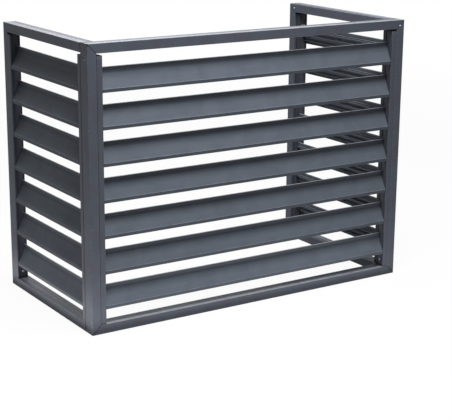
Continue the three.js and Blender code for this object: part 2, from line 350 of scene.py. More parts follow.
class Graph:
    """The nodes of one material or world."""

    def __init__(self, tree: bpy.types.NodeTree) -> None:
        """Clears the tree and starts afresh."""
        tree.nodes.clear()
        self.tree = tree

    def node(
        self,
        kind: str,
        settings: Mapping[str, object] | None = None,
        inputs: Mapping[str | int, object] | None = None,
        output: str | int = 0,
    ) -> Value:
        """Adds one node.

        Args:
            kind: The node's type.
            settings: Its properties, set first.
            inputs: A number, vector, written colour or Value for each socket, which is named by
                its number, identifier or name.
            output: The output that is wanted, named in the same way.

        Returns:
            That output, or an input where the node has no output.
        """
        made = self.tree.nodes.new(kind)
        for key, setting in (settings or {}).items():
            setattr(made, key, setting)
        for key, entry in (inputs or {}).items():
            socket = found(made.inputs, key)
            if isinstance(entry, Value):
                self.tree.links.new(entry.socket, socket)
            else:
                socket.default_value = (*linear(entry), 1.0) if isinstance(entry, str) else entry
        return Value(self, found(made.outputs or made.inputs, output))

    def maths(self, operation: str, *terms: Operand) -> Value:
        """The result of a Math node on one or two numbers."""
        return self.node("ShaderNodeMath", {"operation": operation}, dict(enumerate(terms)))

    def place(self) -> Value:
        """The point's place on the screen, in metres."""
        return self.node("ShaderNodeTexCoord", output="Object")

    def stored(self, name: str) -> Value:
        """The vector that the mesh keeps under this name."""
        return self.node("ShaderNodeAttribute", {"attribute_name": name}, output="Vector")

    def parts(self, vector: Value) -> tuple[Value, Value, Value]:
        """The three numbers of a vector."""
        made = self.node("ShaderNodeSeparateXYZ", None, {0: vector}).socket.node
        return tuple(Value(self, socket) for socket in made.outputs)

    def mark(self, name: str) -> tuple[Value, Value, Value]:
        """The three numbers that the mesh keeps under this name."""
        return self.parts(self.stored(name))

    def upward(self) -> Value:
        """The height of the surface's normal: 1 where it looks straight up."""
        return self.parts(self.node("ShaderNodeNewGeometry", output="Normal"))[2]

    def noise(self, place: Value, noise: Noise) -> Value:
        """Soft noise at a place."""
        inputs = {"Scale": 1.0 / noise.size, "Detail": noise.detail, "Distortion": noise.swirl}
        return self.node("ShaderNodeTexNoise", None, {"Vector": place, **inputs})

    def cells(self, place: Value, size: float) -> Value:
        """Distance to the nearest of many scattered points, in cells of the given size."""
        inputs = {"Vector": place, "Scale": 1.0 / size}
        return self.node("ShaderNodeTexVoronoi", {"feature": "F1"}, inputs, "Distance")

    def drawn(self, name: str, draw: float, stray: float) -> Value:
        """A place that is drawn out along the piece, for marks that an extrusion carries.

        Args:
            name: The mesh's mark, whose third number runs along the piece.
            draw: What the third number is multiplied by.
            stray: Share of the point's place on the screen that is added, so that pieces differ.

        Returns:
            The mark times (1, 1, draw), plus the stray share of the place.
        """
        scale = {0: self.place(), 1: (stray, stray, stray)}
        shift = self.node("ShaderNodeVectorMath", {"operation": "MULTIPLY"}, scale)
        terms = {0: self.stored(name), 1: (1.0, 1.0, draw), 2: shift}
        return self.node("ShaderNodeVectorMath", {"operation": "MULTIPLY_ADD"}, terms)

    def distance(self, place: Value, centre: Triple) -> Value:
        """How far the point is from a centre."""
        points = {0: place, 1: centre}
        return self.node("ShaderNodeVectorMath", {"operation": "DISTANCE"}, points, "Value")

    def blend(self, first: str | Value, second: str | Value, share: Operand) -> Value:
        """A colour that goes from the first to the second by the share."""
        inputs = {"Factor_Float": share, "A_Color": first, "B_Color": second}
        return self.node("ShaderNodeMix", {"data_type": "RGBA"}, inputs, "Result_Color")

    def bump(
        self, height: Value, distance: float, strength: float, under: Value | None = None
    ) -> Value:
        """The normal of a bumpy surface.

        Args:
            height: The bumps, from 0 to 1.
            distance: What a height of 1 stands for.
            strength: Share of the tilt that is kept.
            under: Normal of the coarser bumps that these ones lie on.

        Returns:
            The tilted normal.
        """
        inputs = {"Height": height, "Distance": distance, "Strength": strength}
        if under is not None:
            inputs["Normal"] = under
        return self.node("ShaderNodeBump", None, inputs)

    def end_in(self, shader: Value, kind: str = "ShaderNodeOutputMaterial") -> None:
        """Links the last shader to the graph's output."""
        self.node(kind, None, {"Surface": shader})


def new_material(name: str) -> tuple[bpy.types.Material, Graph]:
    """Makes an empty material.

    Args:
        name: The material's name.

    Returns:
        The material and its graph.
    """
    material = bpy.data.materials.new(name)
    material.use_nodes = True
    return material, Graph(material.node_tree)


# Finishes


class Form(Enum):
    """Which edges of a piece the coat wears thin on."""

    TUBE = "tube"
    CHANNEL = "channel"
    SLAT = "slat"


@dataclass(frozen=True)
class PowderCoat:
    """Dark powder coat on aluminium: an orange-peel skin with fine grain, thin along the edges.

    A range gives the two places between which a smooth step goes from 0 to 1.
    """

    name: str
    form: Form
    colour: str
    shade: str
    dust_and_sheen: str
    bare_metal_and_highlight: str = "#a9adb3"
    grime_and_shade: str = "#1f2126"
    roughness: float = 0.5
    roughness_swing: float = 0.2
    dust_roughness: float = 0.08
    rubbed_polish: float = 0.12
    rubbed_metal: float = 0.9
    specular: float = 0.12
    patches: Noise = Noise(0.06, 3.0, 0.4)
    lines: Noise = Noise(0.004, 3.0)
    line_draw: float = 0.05
    line_stray: float = 0.04
    line_share: float = 0.3
    tone_range: Range = (0.34, 0.62)
    peel: Noise = Noise(0.0028)
    peel_height: float = 0.00006
    peel_strength: float = 0.6
    grain: Noise = Noise(0.0006, 1.0)
    grain_height: float = 0.00002
    grain_strength: float = 0.7
    fleck_size: float = 0.00096
    fleck_share: float = 0.4
    dust_and_sheen_share: float = 0.5
    dust_and_sheen_clouds: Noise = Noise(0.03, 4.0, 0.6)
    cloud_range: Range = (0.25, 0.75)
    cloud_share: float = 0.35
    upward_range: Range = (0.55, 0.98)
    inner_band_range: Range = (0.0215, 0.0245)
    inner_band_share: float = 0.95
    rub_patches: Noise = Noise(0.006, 4.0)
    rub_range: Range = (0.46, 0.72)
    wear_share: float = 0.5
    edge_width: float = 0.0009
    tube_edge_range: Range = (0.0021, 0.00024)
    lip_wear_and_highlight: float = 0.7
    top_highlight_range: Range = (0.07184, 0.07274)
    top_highlight_swing: float = 0.2
    crimp_highlight_share: float = 0.5
    cut_range: Range = (0.002, 0.0006)
    cut_grime_and_shadow_share: float = 0.85
    seam_shadow_range: Range = (0.00216, 0.00072)
    seam_shadow_share: float = 0.35
    joint_grime_and_shadow_range: Range = (0.003, 0.0018)
    joint_grime_and_shadow_share: float = 0.8
    groove_reach: float = 0.0005
    groove_shade_share: float = 0.6
    inner_side_shade_share: float = 0.4
    sheltered_shade_share: float = 0.35
    lip_shade_share: float = 0.45
    nick_place: Triple | None = None
    nick_range: Range = (0.0055, 0.0033)
    chip_place: Triple | None = None
    chip_range: Range = (0.0034, 0.0017)
    chip_ragged: float = 0.0015

    def edges(self, graph: Graph) -> Value:
        """How near the point is to an edge that hands and tools rub.

        Args:
            graph: The material's graph.

        Returns:
            1 on an edge, 0 a millimetre or two away from it.
        """
        width = self.edge_width
        if self.form is Form.SLAT:
            _, height, _ = graph.mark("place")
            lip = (height - SlatBlade.lip_height).alone("ABSOLUTE")
            # On a slat, the lip's edge is worn and also painted as a highlight.
            return self.lip_wear_and_highlight * lip.rise(width, 0.0)
        across, depth, end = graph.mark("place")
        if self.form is Form.TUBE:
            sides = (across.least(FrameTube.face - across), depth.least(FrameTube.depth - depth))
            return sides[0].greatest(sides[1]).rise(*self.tube_edge_range)
        rim = across.rise(ChannelBar.width - width, ChannelBar.width)
        return rim.least(depth.rise(width, 0.0)).greatest(end.rise(width, 0.0))

    def painted_shade_share(self, graph: Graph) -> Value:
        """How much painted shade the point takes.

        Args:
            graph: The material's graph.

        Returns:
            The painted shade on a slat's sheltered top and lip, or in a channel's grooves, on its
            side towards the slats and along its seam.
        """
        if self.form is Form.SLAT:
            _, height, _ = graph.mark("place")
            low = SlatBlade.slope[-2][1] * SlatBlade.height
            high = SlatBlade.flange_share * SlatBlade.height
            lip = height.rise(SlatBlade.lip_height, SlatBlade.lip_height - self.edge_width)
            # Painted shade: the top of a slat, under the slat above, and the face of its lip are
            # made darker.
            return (height.rise(low, high) * self.sheltered_shade_share).greatest(lip * self.lip_shade_share)
        across, depth, _ = graph.mark("place")
        width = ChannelBar.width
        floor = across.rise(width - self.groove_reach, width - 2 * self.groove_reach)
        inner = depth.rise(self.edge_width, 3 * self.edge_width)
        side = across.rise(width - 2 * self.edge_width, width - self.edge_width)
        # Painted shade in the channel's grooves and on its side towards the slats.
        sunk = (floor * self.groove_shade_share).greatest(side * self.inner_side_shade_share) * inner
        # Painted shadow along the seam between the channel and the post.
        return sunk.greatest(self.seam_shadow_share * across.rise(*self.seam_shadow_range))

    def joint(self, graph: Graph) -> Value:
        """The line where a side panel meets the back of the front frame, darkened with grime and a
        painted shadow.

        Args:
            graph: The material's graph.

        Returns:
            1 along the line, 0 elsewhere.
        """
        x, y, _ = graph.parts(graph.place())
        meeting = (y - (FrameTube.depth - Screen.depth / 2)).alone("ABSOLUTE")
        inside = Screen.width / 2 - FrameTube.face
        beside = x.alone("ABSOLUTE").rise(inside, inside + self.edge_width)
        return meeting.rise(*self.joint_grime_and_shadow_range) * beside

    def soiled_and_shaded(self, graph: Graph, coat: Value, dust_and_sheen_cover: Value) -> Value:
        """Lays dust and painted sheen, grime and painted shade on the coat.

        Args:
            graph: The material's graph.
            coat: The clean coat.
            dust_and_sheen_cover: How much dust and painted sheen each point takes.

        Returns:
            The coat with dust and painted sheen on what looks up, painted shade on slats and
            channels, and grime and painted shadow along cut ends and joints.
        """
        # Dust and painted sheen on what looks up.
        coat = graph.blend(coat, self.dust_and_sheen, dust_and_sheen_cover * self.dust_and_sheen_share)
        if self.form is not Form.TUBE:
            # Painted shade on the slats and channels.
            coat = graph.blend(coat, self.grime_and_shade, self.painted_shade_share(graph))
        # Grime and painted shadow in a thin line along each cut end.
        cut = graph.mark("place")[2].rise(*self.cut_range)
        coat = graph.blend(coat, self.grime_and_shade, self.cut_grime_and_shadow_share * cut)
        # Grime and painted shadow where a side panel meets the front frame.
        if self.form is not Form.SLAT:
            coat = graph.blend(coat, self.grime_and_shade, self.joint_grime_and_shadow_share * self.joint(graph))
        return coat

    def painted_highlight(self, graph: Graph, patchy: Value) -> Value:
        """How strongly a slat's top edge or the foot of a tube's crimp is painted as a bright
        highlight of metal.

        Args:
            graph: The material's graph.
            patchy: Where the painted highlight is stronger.

        Returns:
            1 where the painted highlight is full, 0 where the coat is whole.
        """
        if self.form is Form.TUBE:
            # Painted highlight on the foot of a tube's crimp.
            return self.crimp_highlight_share * graph.mark("crimp_highlight")[0]
        # Painted highlight: a bright line of metal along the top edge of a slat.
        top = graph.mark("place")[1].rise(*self.top_highlight_range)
        return top * (1.0 - self.top_highlight_swing + self.top_highlight_swing * patchy)

    def build(self) -> bpy.types.Material:
        """Builds the coat.

        Returns:
            The material: patches of two close colours, faint drawing lines along the piece, dust
                and painted sheen on what looks up, grime and painted shade in the seams, grooves
                and sheltered parts, worn metal along edges, painted highlights along the slats'
                tops and the crimps' feet, and a bump of two sizes.
        """
        material, graph = new_material(f"{self.name}_coat_finish")
        place = graph.place()
        patches = graph.noise(place, self.patches)
        lines = graph.noise(graph.drawn("place", self.line_draw, self.line_stray), self.lines)
        peel = graph.noise(place, self.peel)
        tone = (1.0 - self.line_share) * patches + self.line_share * lines
        coat = graph.blend(self.shade, self.colour, tone.rise(*self.tone_range))
        # Dust and painted sheen: what looks up is made lighter, both as dust and as the sheen of
        # the tops.
        clouds = graph.noise(place, self.dust_and_sheen_clouds).rise(*self.cloud_range)
        dust_and_sheen_cover = 1.0 - self.cloud_share + self.cloud_share * clouds
        dust_and_sheen_cover = graph.upward().rise(*self.upward_range) * dust_and_sheen_cover
        # Painted sheen band: the inner part of a tube's top takes less of the dust and painted
        # sheen, so the top shows a lighter outer band.
        if self.form is Form.TUBE:
            inner_half = graph.mark("place")[1].rise(*self.inner_band_range)
            dust_and_sheen_cover = dust_and_sheen_cover * (1.0 - self.inner_band_share * inner_half)
        coat = self.soiled_and_shaded(graph, coat, dust_and_sheen_cover)
        patchy = graph.noise(place, self.rub_patches).rise(*self.rub_range)
        # Worn metal along edges, and painted highlights of metal on slat tops and crimp feet.
        wear_and_highlight = self.edges(graph) * patchy * self.wear_share
        if self.form is not Form.CHANNEL:
            wear_and_highlight = wear_and_highlight.greatest(self.painted_highlight(graph, patchy))
        if self.chip_place is not None:
            chip = graph.distance(place, self.chip_place) + self.chip_ragged * (peel - 0.5)
            wear_and_highlight = wear_and_highlight.greatest(chip.rise(*self.chip_range))
        if self.nick_place is not None:
            nick = graph.distance(place, self.nick_place).rise(*self.nick_range)
            coat = graph.blend(coat, self.grime_and_shade, nick)
            wear_and_highlight = wear_and_highlight * (1.0 - nick)
        rough = self.roughness + self.roughness_swing * (0.5 * lines + 0.5 * peel - 0.5)
        rough = rough + self.dust_roughness * dust_and_sheen_cover - self.rubbed_polish * wear_and_highlight
        fleck = graph.cells(place, self.fleck_size)
        grain = graph.noise(place, self.grain) + self.fleck_share * fleck
        skin = graph.bump(peel, self.peel_height, self.peel_strength)
        inputs = {
            "Base Color": graph.blend(coat, self.bare_metal_and_highlight, wear_and_highlight),
            "Roughness": rough,
            "Metallic": wear_and_highlight * self.rubbed_metal,
            "Specular IOR Level": self.specular,
            "Normal": graph.bump(grain, self.grain_height, self.grain_strength, skin),
        }
        graph.end_in(graph.node("ShaderNodeBsdfPrincipled", None, inputs))
        return material


@dataclass(frozen=True)
class CastMetal:
    """Raw die-cast aluminium: grainy, with darker flow marks."""

    name: str = "cast_aluminium_finish"
    colour: str = "#a2a5a9"
    shade: str = "#7c8085"
    bright: str = "#c3c6ca"
    roughness: float = 0.52
    flow: Noise = Noise(0.012, 4.0, 1.2)
    flow_range: Range = (0.3, 0.7)
    flow_roughness: float = 0.25
    sheen: Noise = Noise(0.003, 3.0)
    sheen_range: Range = (0.55, 0.7)
    sheen_share: float = 0.35
    sheen_polish: float = 0.1
    grain: Noise = Noise(0.0009)
    grain_height: float = 0.00004
    grain_strength: float = 0.8
    pit_share: float = 0.5

    def build(self) -> bpy.types.Material:
        """Builds the metal.

        Returns:
            The material, coloured by swirled noise and pitted by small cells.
        """
        material, graph = new_material(self.name)
        place = graph.place()
        flow = graph.noise(place, self.flow)
        sheen = graph.noise(place, self.sheen).rise(*self.sheen_range)
        colour = graph.blend(self.shade, self.colour, flow.rise(*self.flow_range))
        pits = graph.cells(place, self.grain.size)
        grain = graph.noise(place, self.grain) + self.pit_share * pits
        rough = self.roughness + self.flow_roughness * (flow - 0.5) - self.sheen_polish * sheen
        inputs = {
            "Base Color": graph.blend(colour, self.bright, self.sheen_share * sheen),
            "Metallic": 1.0,
            "Roughness": rough,
            "Normal": graph.bump(grain, self.grain_height, self.grain_strength),
        }
        graph.end_in(graph.node("ShaderNodeBsdfPrincipled", None, inputs))
        return material


@dataclass(frozen=True)
class ScrewSteel:
    """Bright stainless steel: fine turning marks, smudges of grime, and painted shade in the
    recess.
    """

    name: str = "screw_steel_finish"
    colour: str = "#94979c"
    grime_and_shade: str = "#46484c"
    roughness: float = 0.3
    mark_size: float = 0.00025
    mark_height: float = 0.00001
    mark_strength: float = 0.5
    recess_range: Range = (0.0009, 0.0002)
    recess_reach: Range = (0.0026, 0.0018)
    smudge: Noise = Noise(0.002, 3.0)
    smudge_range: Range = (0.55, 0.8)
    smudge_share: float = 0.5
    smudge_roughness: float = 0.2
    dirt_and_shade_share: float = 0.7
    dirt_roughness: float = 0.3
    dirt_metal: float = 0.4

    def build(self) -> bpy.types.Material:
        """Builds the steel.

        Returns:
            The material, with rings about the screw's own axis, smudges, and darker in the head's
            recess as painted shade.
        """
        material, graph = new_material(self.name)
        across, depth, rise = graph.mark("place")
        radius = (across * across + depth * depth).alone("SQRT")
        rings = (radius * (2 * math.pi / self.mark_size)).alone("SINE")
        smudge = graph.noise(graph.place(), self.smudge)
        # Painted shade in the head's recess.
        sunk = rise.rise(*self.recess_range) * radius.rise(*self.recess_reach)
        dirt_and_shade = (sunk + self.smudge_share * smudge.rise(*self.smudge_range)).least(1.0)
        rough = self.roughness + self.smudge_roughness * (smudge - 0.5) + self.dirt_roughness * dirt_and_shade
        marks = 0.5 * rings + 0.5 * smudge
        inputs = {
            "Base Color": graph.blend(self.colour, self.grime_and_shade, self.dirt_and_shade_share * dirt_and_shade),
            "Metallic": 1.0 - self.dirt_metal * dirt_and_shade,
            "Roughness": rough,
            "Normal": graph.bump(marks, self.mark_height, self.mark_strength),
        }
        graph.end_in(graph.node("ShaderNodeBsdfPrincipled", None, inputs))
        return material


# Panels


@dataclass(frozen=True)
class Panel:
    """One panel: its name, axes and sizes, and the names of its two ends and of their posts."""

    name: str
    axes: Axes
    length: float
    height: float
    fit_gap: float
    sides: tuple[str, str]
    posts: tuple[str | None, str | None]

    def ends(self, setback: float) -> list[tuple[str, float, Array]]:
        """Name, place and inward direction of each end, set back from its post if it has one."""
        start, end = (setback + (FrameTube.face if post else 0.0) for post in self.posts)
        return list(zip(self.sides, (start, self.length - end), (X_AXIS, -X_AXIS)))


@dataclass(frozen=True)
class Screen:
    """Overall sizes of the screen and the panels that follow from them."""

    width: float = 1.2
    depth: float = 0.6
    height: float = 0.9
    fit_gap: float = 0.0003

    def panels(self) -> list[Panel]:
        """Works out the panels.

        Returns:
            The front, left and right panels.
        """
        x, y = self.width / 2, self.depth / 2
        whole = Axes(np.zeros(3), np.eye(3))
        front = whole.inner(np.array([-x, -y, 0.0]), X_AXIS, Y_AXIS, Z_AXIS)
        left = whole.inner(np.array([-x, y, 0.0]), -Y_AXIS, X_AXIS, Z_AXIS)
        right = whole.inner(np.array([x, FrameTube.depth - y, 0.0]), Y_AXIS, -X_AXIS, Z_AXIS)
        front_posts = ("front_left_post", "front_right_post")
        side = (self.depth - FrameTube.depth, self.height, self.fit_gap)
        return [
            Panel("front", front, self.width, *side[1:], ("left", "right"), front_posts),
            Panel("left", left, *side, ("rear", "front"), ("left_rear_post", None)),
            Panel("right", right, *side, ("front", "rear"), (None, "right_rear_post")),
        ]


@dataclass(frozen=True)
class PanelPieces:
    """The pieces of one kind on a panel, with the finish that they share."""

    panel: Panel
    finish: bpy.types.Material
    ending: ClassVar[str]
    slot: ClassVar[str]
    sharp_angle: ClassVar[float] = 40.0

    def add(self, node: str, shell: Shell, axes: Axes) -> None:
        """Makes one piece and gives it its finish and its body.

        Args:
            node: CAD node that the piece stands for.
            shell: The piece's surface.
            axes: Where its own axes lie on the screen.
        """
        piece = shell.make(f"{node}_{self.ending}", axes, self.sharp_angle)
        piece.data.materials.append(self.finish)
        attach(piece, BODY)
        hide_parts(node)
        LOG.info("%s: %d points", piece.name, len(piece.data.vertices))


# Frame tubes


class EndCut(Enum):
    """How the end of a frame tube is cut."""

    MITRE = "mitre"
    SQUARE = "square"
    OPEN = "open"


@dataclass(frozen=True)
class FrameTube:
    """The frame's tube: 30 x 45 mm with a 2 mm wall, mitred or square at its ends.

    Across the tube, X runs from its outer edge inwards, Y is the depth and Z runs along it.
    """

    face: float = 0.03
    depth: float = 0.045
    wall: float = 0.002
    edge_radius: float = 0.0012
    bore_radius: float = 0.0004
    arc_steps: int = 5
    shoulder: float = 0.0009
    end_break: float = 0.0006
    end_rings: tuple[float, ...] = (0.0012, 0.003, 0.008, 0.014)
    middle_rings: tuple[float, ...] = (0.15, 0.325, 0.5, 0.675, 0.85)
    fit_gap: float = 0.0003
    open_gap: float = 0.002
    crimp_setback: float = 0.043
    crimp_height: float = 0.014
    crimp_start: float = 0.008
    crimp_end: float = 0.034
    crimp_press: float = 0.0018
    crimp_steps: int = 20
    crimp_bow: float = 0.5
    crimp_slope: float = 1.4
    crimp_foot: float = 0.28
    crimp_reach: Range = (-0.75, 0.5)
    crimp_rings: int = 31
    crimp_highlight_gain: float = 2.5

    def ring(self, wall: float, radius: float, pull: float) -> Array:
        """Rounded rectangle with a support point beside each rounded corner.

        Args:
            wall: How far the rectangle lies inside the tube's outer surface.
            radius: Radius of its corners.
            pull: How far it is drawn in all round.

        Returns:
            Its points, counter-clockwise from the outer front corner. Every ring of the tube has
            the same number of them, with extra points where the crimp goes.
        """
        low = wall + pull
        x, y = self.face - low, self.depth - low
        ahead = np.array([[1, 0], [0, 1], [-1, 0], [0, -1]])
        back = np.roll(ahead, -1, axis=0)
        centres = np.array([[low, low], [x, low], [x, y], [low, y]]) + radius * (ahead + back)
        quarter = math.pi / 2
        pieces = []
        for number, centre in enumerate(centres):
            start = math.pi + number * quarter
            bend = arc(centre, radius, start, start + quarter, self.arc_steps)
            before = bend[:1] + self.shoulder * back[number]
            after = bend[-1:] + self.shoulder * ahead[number]
            pieces += [before, bend, after]
        rises = np.linspace(self.crimp_end, self.crimp_start, self.crimp_steps + 1)
        side = np.stack([np.full(rises.shape, low), rises], axis=1)
        return np.vstack([*pieces, side])

    def inset(self, cut: EndCut, across: Array) -> Array:
        """How far a cut end stands back at each place across the tube.

        Args:
            cut: How the end is cut.
            across: Places across the tube.

        Returns:
            x + gap / sqrt 2 for a mitre, and the gap for a square or an open end.
        """
        if cut is EndCut.MITRE:
            return across + self.fit_gap * math.sqrt(0.5)
        gap = self.fit_gap if cut is EndCut.SQUARE else self.open_gap
        return np.full(across.shape, gap)

    def crimp(self, points: Array, from_end: Array) -> tuple[Array, Array]:
        """Presses the crimp into the outer edge.

        The depth of the dent is the press times c(u) s((v + 1) / slope) s((1 - v) / foot), where
        u and v run from -1 to 1 across the dent and down it, v bent by the bow times u^2 so that
        its foot is bowed, c(u) = (1 - u^4)^2 and s is a smooth step from 0 at 0 to 1 at 1.

        Args:
            points: Points of the outer surface in the tube's own axes.
            from_end: Distance of each point from the crimped end.

        Returns:
            How far each point moves inwards, and 1 on the dent's steep foot, where the painted
            highlight goes, 0 elsewhere.
        """
        middle = (self.crimp_start + self.crimp_end) / 2
        u = (points[..., 1] - middle) / ((self.crimp_end - self.crimp_start) / 2)
        v = (from_end - self.crimp_setback) / (self.crimp_height / 2) + self.crimp_bow * u * u
        bowl = np.clip(1 - u**4, 0, 1) ** 2
        foot = np.clip((1 - v) / self.crimp_foot, 0, 1)
        press = self.crimp_press * bowl * smooth((v + 1) / self.crimp_slope) * smooth(foot)
        # Painted highlight: the foot of the dent is marked to be painted bright.
        ledge = 4 * foot * (1 - foot) * np.clip(self.crimp_highlight_gain * bowl, 0, 1)
        outer = points[..., 0] < self.wall / 2
        return np.where(outer, press, 0.0), np.where(outer, ledge, 0.0)

    def shell(self, length: float, cuts: tuple[EndCut, EndCut], crimped: int | None) -> Shell:
        """The tube as one closed surface.

        Its rings go along the outside from the first end to the last, and back in the bore.

        Args:
            length: Length along its outer edge.
            cuts: How its start and its end are cut.
            crimped: Number of the end that has a crimp, 0 or 1, or None.

        Returns:
            The surface, marked with x, y and the distance to the nearer end, and with the painted
            highlight on the crimp's foot.
        """
        offsets = np.array([0.0, self.end_break, *self.end_rings])
        if crimped is not None:
            dent = np.linspace(*self.crimp_reach, self.crimp_rings) * self.crimp_height
            offsets = np.concatenate([offsets, dent + self.crimp_setback])
        outside = self.ring(0.0, self.edge_radius, 0.0)
        drawn = self.ring(0.0, self.edge_radius - self.end_break, self.end_break)
        bore = self.ring(self.wall, self.bore_radius, 0.0)
        near = list(zip([drawn] + [outside] * (len(offsets) - 1), offsets))

        def first(ring: Array) -> Array:
            """Where a ring starts along the tube."""
            return self.inset(cuts[0], ring[..., 0])

        def last(ring: Array) -> Array:
            """Where a ring ends along the tube."""
            return length - self.inset(cuts[1], ring[..., 0])

        rows = [(ring, first(ring) + offset, offset) for ring, offset in near]
        for share in self.middle_rings:
            from_first = (last(outside) - first(outside)) * share
            from_last = (last(outside) - first(outside)) * (1.0 - share)
            rows.append((outside, first(outside) + from_first, np.minimum(from_first, from_last)))
        rows += [(ring, last(ring) - offset, offset) for ring, offset in near[::-1]]
        rows += [(bore, last(bore), 0.0), (bore, first(bore), 0.0)]
        flat = np.stack([ring for ring, _, _ in rows])
        to_end = np.stack([np.broadcast_to(distance, len(outside)) for _, _, distance in rows])
        points = np.dstack([flat, np.stack([height for _, height, _ in rows])])
        crimp_highlights = np.zeros(points.shape)
        if crimped is not None:
            from_end = (points[..., 2] - first(points), last(points) - points[..., 2])[crimped]
            press, crimp_highlights[..., 0] = self.crimp(points, from_end)
            points[..., 0] += press
        faces = ring_quads(*flat.shape[:2], True).tolist()
        marks = np.dstack([flat, to_end]).reshape(-1, 3)
        return Shell(points.reshape(-1, 3), faces, {"place": marks, "crimp_highlight": crimp_highlights.reshape(-1, 3)})


@dataclass(frozen=True)
class PanelFrame(PanelPieces):
    """The rails and posts of a panel, each post crimped near its top."""

    tube: FrameTube = FrameTube()
    ending: ClassVar[str] = "tube"
    slot: ClassVar[str] = "frame_coat"

    def build(self) -> None:
        """Makes both rails and the posts that the panel has."""
        panel = self.panel
        length, height, inner = panel.length, panel.height, panel.axes.inner
        far, high, nearest = length * X_AXIS, height * Z_AXIS, np.zeros(3)
        top = tuple(EndCut.MITRE if post else EndCut.SQUARE for post in panel.posts)
        low = tuple(EndCut.MITRE if post else EndCut.OPEN for post in panel.posts[::-1])
        top_rail, bottom_rail = f"{panel.name}_top_rail", f"{panel.name}_bottom_rail"
        start_post, end_post = panel.posts
        mitred = (EndCut.MITRE, EndCut.MITRE)
        bars = (
            (top_rail, length, top, None, inner(high, -Z_AXIS, Y_AXIS, X_AXIS)),
            (bottom_rail, length, low, None, inner(far, Z_AXIS, Y_AXIS, -X_AXIS)),
            (start_post, height, mitred, 1, inner(nearest, X_AXIS, Y_AXIS, Z_AXIS)),
            (end_post, height, mitred, 0, inner(far + high, -X_AXIS, Y_AXIS, -Z_AXIS)),
        )
        for node, size, cuts, crimped, axes in bars:
            if node:
                self.add(node, self.tube.shell(size, cuts, crimped), axes)


# Channels


@dataclass(frozen=True)
class ChannelBar:
    """The upright channel at each end of a panel, with two grooves in the side towards the slats.

    Its own X runs from the post towards the slats, Y is the depth and Z the height.
    """

    width: float = 0.019
    depth: float = 0.036
    wall: float = 0.0018
    edge_break: float = 0.0008
    front_flange: float = 0.007
    front_groove: float = 0.003
    front_groove_depth: float = 0.0014
    rear_flange: float = 0.003
    rear_groove: float = 0.005
    rear_groove_depth: float = 0.0024
    groove_roll: float = 0.0003
    end_break: float = 0.0003
    roll_steps: int = 4
    ring_shares: tuple[float, ...] = (0.02, 0.1, 0.3, 0.5, 0.7, 0.9, 0.98)

    def land(self) -> Range:
        """Where the land between the two grooves starts and ends in the depth."""
        start = self.front_flange + self.front_groove
        return start, self.depth - self.rear_flange - self.rear_groove

    def outline(self) -> Array:
        """Works out the section.

        Returns:
            Its points with the corners rolled, counter-clockwise from the post's front corner.
        """
        width, depth, wall = self.width, self.depth, self.wall
        front, rear = self.front_flange, self.depth - self.rear_flange
        land_start, land_end = self.land()
        front_floor = width - self.front_groove_depth
        rear_floor = width - self.rear_groove_depth
        web = rear_floor - wall
        outer = [(0.0, 0.0), (width, 0.0), (width, front), (front_floor, front)]
        grooves = [(front_floor, land_start), (width, land_start), (width, land_end)]
        grooves += [(rear_floor, land_end), (rear_floor, rear), (width, rear)]
        back = [(width, depth), (0.0, depth), (0.0, depth - wall)]
        inside = [(web, depth - wall), (web, wall), (0.0, wall)]
        corners = np.array(outer + grooves + back + inside)
        reach = np.full(len(corners), self.groove_roll)
        reach[:2] = self.edge_break
        return rolled_outline(corners, reach, self.roll_steps)

    def shell(self, low: float, high: float) -> Shell:
        """The channel as one closed surface, its cut ends lightly broken.

        Args:
            low: Height of its foot.
            high: Height of its top.

        Returns:
            The surface, marked with x, y and the distance to the nearer end.
        """
        between = low + (high - low) * np.array(self.ring_shares)
        ends = ([low, low + self.end_break], [high - self.end_break, high])
        stations = np.concatenate([ends[0], between, ends[1]])
        return prism(self.outline(), stations, self.end_break / 2)


@dataclass(frozen=True)
class PanelChannels(PanelPieces):
    """The two channels of a panel, which end a notch below the top rail."""

    bar: ChannelBar = ChannelBar()
    top_notch: float = 0.0065
    ending: ClassVar[str] = "bar"
    slot: ClassVar[str] = "channel_coat"

    def build(self) -> None:
        """Makes both channels."""
        panel = self.panel
        high = panel.height - FrameTube.face - self.top_notch
        shell = self.bar.shell(FrameTube.face + panel.fit_gap, high)
        for side, x, towards in panel.ends(panel.fit_gap):
            axes = panel.axes.inner(x * X_AXIS, towards, Y_AXIS, Z_AXIS)
            self.add(f"{panel.name}_{side}_channel", shell, axes)


# Slats


